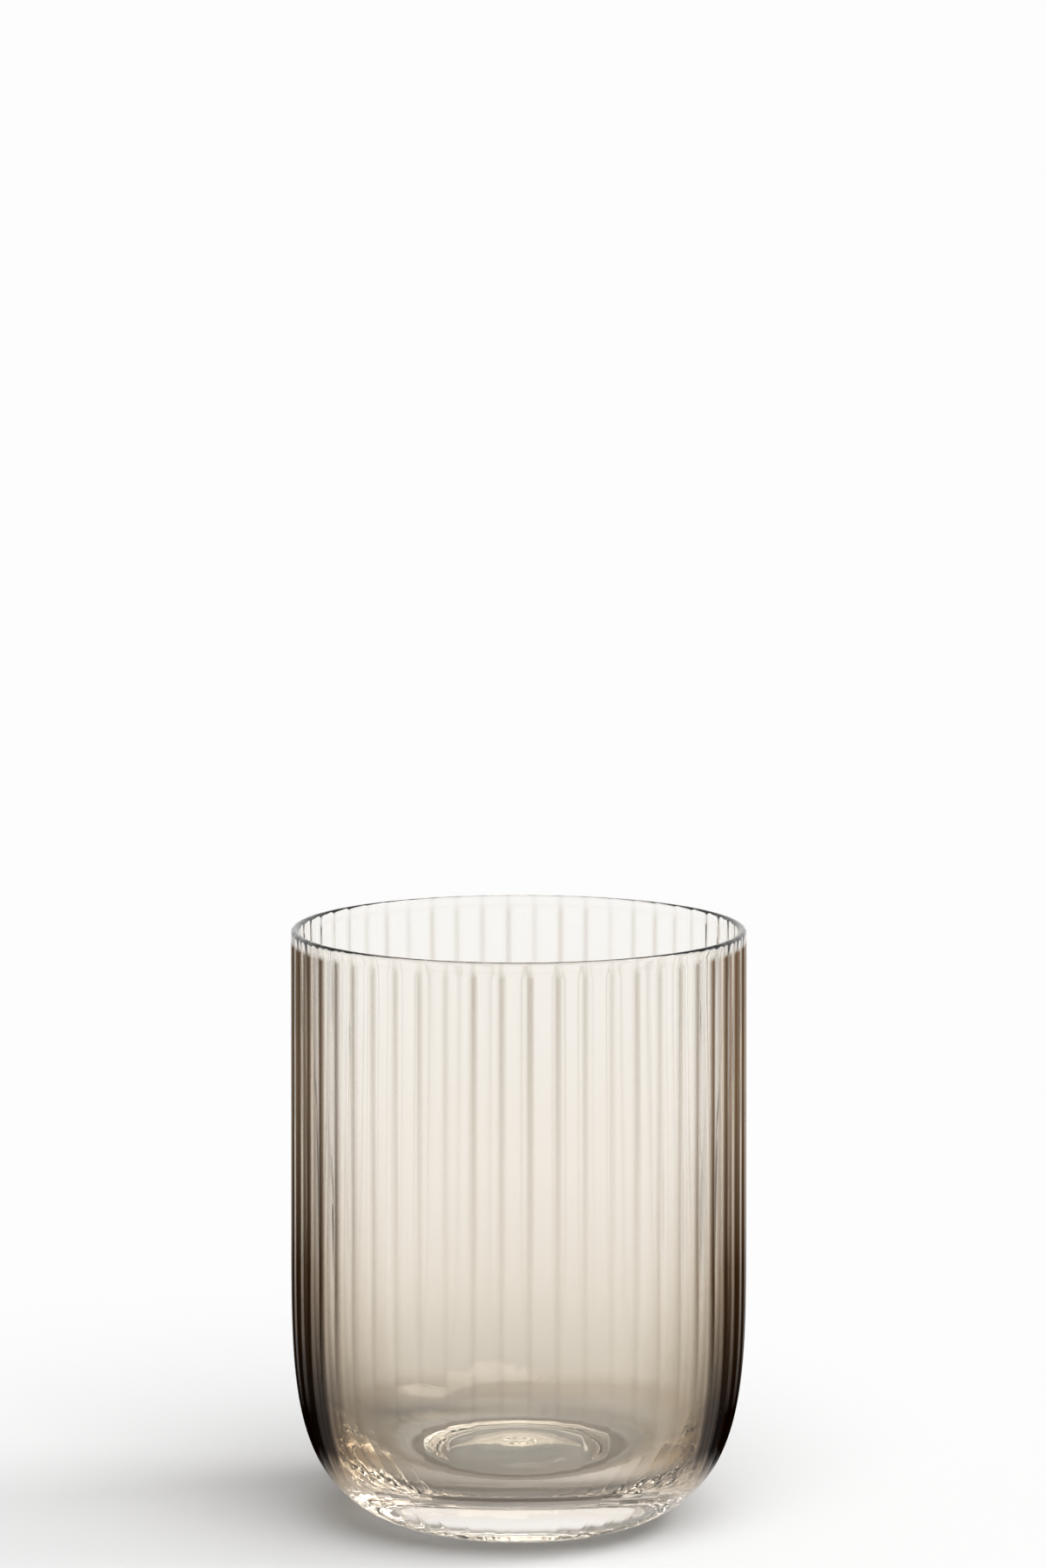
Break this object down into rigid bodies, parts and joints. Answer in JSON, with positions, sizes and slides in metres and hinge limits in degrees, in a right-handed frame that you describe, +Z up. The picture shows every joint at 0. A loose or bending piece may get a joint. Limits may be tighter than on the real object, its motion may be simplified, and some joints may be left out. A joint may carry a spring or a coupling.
{
  "type": "water glass",
  "caption": "Straight stemless tumbler of smoke-tinted glass with upright reeds, a softly rounded lower corner and a heavy clear base.",
  "frame": {"origin": "on the table, at the centre of the foot", "axes": "+Z up along the axis of the bowl, -Y towards the viewer, +X to the viewer's right"},
  "size_m": [0.0764, 0.0764, 0.1],
  "materials": {
    "clear_glass": "polished",
    "smoke_glass": "fire-polished reeds"
  },
  "bodies": {
    "root": {"clear_glass_body": "clear_glass", "smoke_casing": "smoke_glass"}
  },
  "joints": []
}
